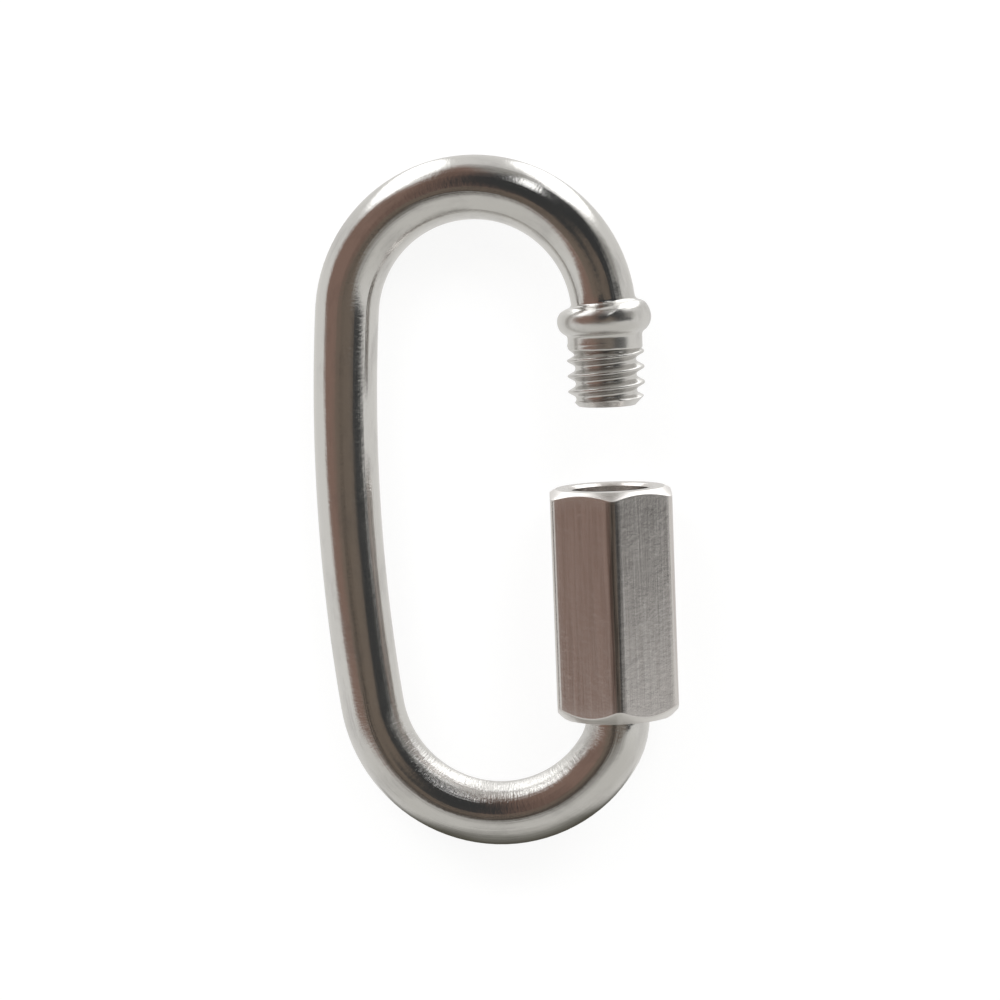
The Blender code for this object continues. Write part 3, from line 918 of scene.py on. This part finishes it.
def light_world(studio):
    """Even light from all sides. The camera sees a white backdrop, and the metal mirrors the cards."""
    world = bpy.data.worlds.new("studio")
    world.use_nodes = True
    tree = world.node_tree
    tree.nodes.clear()
    path = node(tree, "ShaderNodeLightPath").outputs
    tone = blend_colours(tree, path["Is Glossy Ray"], studio.surround, mirrored_tones(tree, studio))
    seen = calculate(tree, "MAXIMUM", path["Is Camera Ray"], path["Is Transmission Ray"])
    tone = blend_colours(tree, seen, tone, studio.backdrop)
    background = node(tree, "ShaderNodeBackground", {"Color": tone, "Strength": 1.0}).outputs["Background"]
    end_at(tree, background, "ShaderNodeOutputWorld")
    bpy.context.scene.world = world


def add_floor(studio):
    """A white floor that keeps a soft shadow of the link. The metal mirrors the room in its place."""
    bm = bmesh.new()
    bmesh.ops.create_grid(bm, x_segments=1, y_segments=1, size=FLOOR_HALF)
    floor = object_from("floor", bm, Matrix.Identity(4), math.pi)
    material, tree = new_material("white_floor")
    path = node(tree, "ShaderNodeLightPath").outputs
    seen = calculate(tree, "MAXIMUM", path["Is Camera Ray"], path["Is Transmission Ray"])
    strength = calculate(tree, "MULTIPLY", seen, studio.floor_glow)
    glow = node(tree, "ShaderNodeEmission", {"Color": (1.0, 1.0, 1.0, 1.0), "Strength": strength})
    paint = node(tree, "ShaderNodeBsdfDiffuse", {"Color": (*studio.floor_paint, 1.0)})
    both = node(tree, "ShaderNodeAddShader", {0: glow.outputs[0], 1: paint.outputs[0]})
    end_at(tree, both.outputs[0])
    floor.data.materials.append(material)
    floor.visible_glossy = False
    return floor


def add_shadow_sheet(studio):
    """A sloping glowing sheet before the bottom bend, darkest at its foot, that only reflections show: a
    painted shadow on the floor for the metal to mirror.
    """
    bm = bmesh.new()
    rows = []
    for y, z in SHADOW_SHEET_ROWS:
        rows.append([bm.verts.new((x, y, z)) for x in SHADOW_SHEET_SIDES])
    for near, far in zip(rows, rows[1:]):
        bm.faces.new((near[0], near[1], far[1], far[0]))
    apron = object_from("apron", bm, Matrix.Identity(4), math.pi)
    material, tree = new_material("apron_cloth")
    point = node(tree, "ShaderNodeTexCoord").outputs["Object"]
    place = node(tree, "ShaderNodeSeparateXYZ", {0: point}).outputs
    up = calculate(tree, "MULTIPLY", place["Z"], 1 / SHADOW_SHEET_SHADE_HEIGHT)
    tone = blend_colours(tree, up, studio.shadow_sheet_foot, studio.shadow_sheet_top)
    aside = calculate(tree, "ABSOLUTE", calculate(tree, "SUBTRACT", place["X"], SHADOW_SHEET_MIDDLE))
    clear = node(tree, "ShaderNodeBsdfTransparent").outputs[0]
    # Painted shadow: the sheet glows with these tones, which stand in for shade on the floor in the
    # reflections.
    painted_shadow = node(tree, "ShaderNodeEmission", {"Color": tone, "Strength": 1.0}).outputs[0]
    faded = between(tree, aside, *SHADOW_SHEET_FADE)
    end_at(tree, node(tree, "ShaderNodeMixShader", {0: faded, 1: painted_shadow, 2: clear}).outputs[0])
    apron.data.materials.append(material)
    apron.visible_camera = False
    apron.visible_diffuse = False
    apron.visible_shadow = False
    return apron


def add_lamp(name, strength, place, size):
    """A soft lamp for the floor's soft shadows, out of the camera's sight and of the metal's."""
    lamp = bpy.data.lights.new(name, "AREA")
    lamp.size = size
    lamp.energy = strength * size**2 * math.pi
    holder = bpy.data.objects.new(name, lamp)
    holder.location = place
    holder.rotation_euler = Vector(place).to_track_quat("Z", "Y").to_euler()
    holder.visible_camera = False
    holder.visible_glossy = False
    bpy.context.scene.collection.objects.link(holder)


def add_camera(studio):
    """The camera looks down on the link as it lies."""
    place, aim = Vector(studio.camera_place), Vector(studio.camera_aim)
    back = (place - aim).normalized()
    upward = Vector((math.sin(studio.camera_roll), math.cos(studio.camera_roll), 0.0))
    right = upward.cross(back).normalized()
    upward = back.cross(right)
    lens = bpy.data.cameras.new("camera")
    lens.sensor_width = 36.0
    lens.lens = studio.focal_length
    lens.clip_start = 0.001
    camera = bpy.data.objects.new("camera", lens)
    camera.matrix_world = Matrix.Translation(place) @ Matrix((right, upward, back)).transposed().to_4x4()
    bpy.context.scene.collection.objects.link(camera)
    bpy.context.scene.camera = camera


class QUICKLINK_OT_bent_rod(bpy.types.Operator):
    """Add the bent rod with its collar and both threads"""

    bl_idname = "quick_link.bent_rod"
    bl_label = "Bent Rod"

    def execute(self, context):
        form = LinkForm(context.scene)
        bm = rod_mesh(form)
        bend(bm, form)
        rod = object_from("bent_rod", bm, form.plane_matrix(), math.radians(50))
        rod.data.materials.append(polished_steel(context.scene.quick_link_finish))
        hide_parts("link_body")
        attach(rod, "link")
        return {"FINISHED"}


class QUICKLINK_OT_hexagon_sleeve(bpy.types.Operator):
    """Add the long hexagon nut with its tapped bore"""

    bl_idname = "quick_link.hexagon_sleeve"
    bl_label = "Hexagon Nut"

    def execute(self, context):
        form = LinkForm(context.scene)
        bm = nut_mesh(form)
        keep_wear_and_painted_shade(bm, form)
        sleeve = object_from("hexagon_sleeve", bm, form.axis_matrix(), math.radians(25))
        sleeve.data.materials.append(satin_steel(context.scene.quick_link_finish))
        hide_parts("sleeve_nut")
        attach(sleeve, "sleeve")
        return {"FINISHED"}


class QUICKLINK_OT_studio(bpy.types.Operator):
    """Add the camera, the lamps, the mirrored surroundings, the floor and the sheet that paints a shadow into
    the reflections
    """

    bl_idname = "quick_link.studio"
    bl_label = "Studio"

    def execute(self, context):
        studio = context.scene.quick_link_studio
        context.scene.view_settings.view_transform = "Standard"
        add_camera(studio)
        light_world(studio)
        add_floor(studio)
        add_shadow_sheet(studio)
        add_lamp("left_lamp", studio.lamp_light, LEFT_LAMP, LAMP_SIZE)
        add_lamp("right_lamp", studio.lamp_light, RIGHT_LAMP, LAMP_SIZE)
        return {"FINISHED"}


class QUICKLINK_PT_panel(bpy.types.Panel):
    """Buttons that build the link and its studio, and the sizes and colours that they read"""

    bl_idname = "QUICKLINK_PT_panel"
    bl_label = "Quick Link"
    bl_space_type = "VIEW_3D"
    bl_region_type = "UI"
    bl_category = "Quick Link"

    def draw(self, context):
        for operator in OPERATORS:
            self.layout.operator(operator.bl_idname)
        for name, group in GROUPS.items():
            box = self.layout.box()
            box.label(text=group.__doc__)
            for prop in group.__annotations__:
                box.prop(getattr(context.scene, name), prop)


GROUPS = {
    "quick_link_rod": RodSizes,
    "quick_link_thread": ThreadSizes,
    "quick_link_collar": CollarSizes,
    "quick_link_nut": NutSizes,
    "quick_link_finish": Finish,
    "quick_link_studio": Studio,
}
OPERATORS = (QUICKLINK_OT_bent_rod, QUICKLINK_OT_hexagon_sleeve, QUICKLINK_OT_studio)
CLASSES = (*GROUPS.values(), *OPERATORS, QUICKLINK_PT_panel)


def register():
    for kind in CLASSES:
        bpy.utils.register_class(kind)
    for name, group in GROUPS.items():
        setattr(bpy.types.Scene, name, PointerProperty(type=group))


def unregister():
    for name in GROUPS:
        delattr(bpy.types.Scene, name)
    for kind in reversed(CLASSES):
        bpy.utils.unregister_class(kind)


def main():
    register()
    bpy.ops.quick_link.bent_rod()
    bpy.ops.quick_link.hexagon_sleeve()
    bpy.ops.quick_link.studio()


if __name__ == "__main__":
    main()
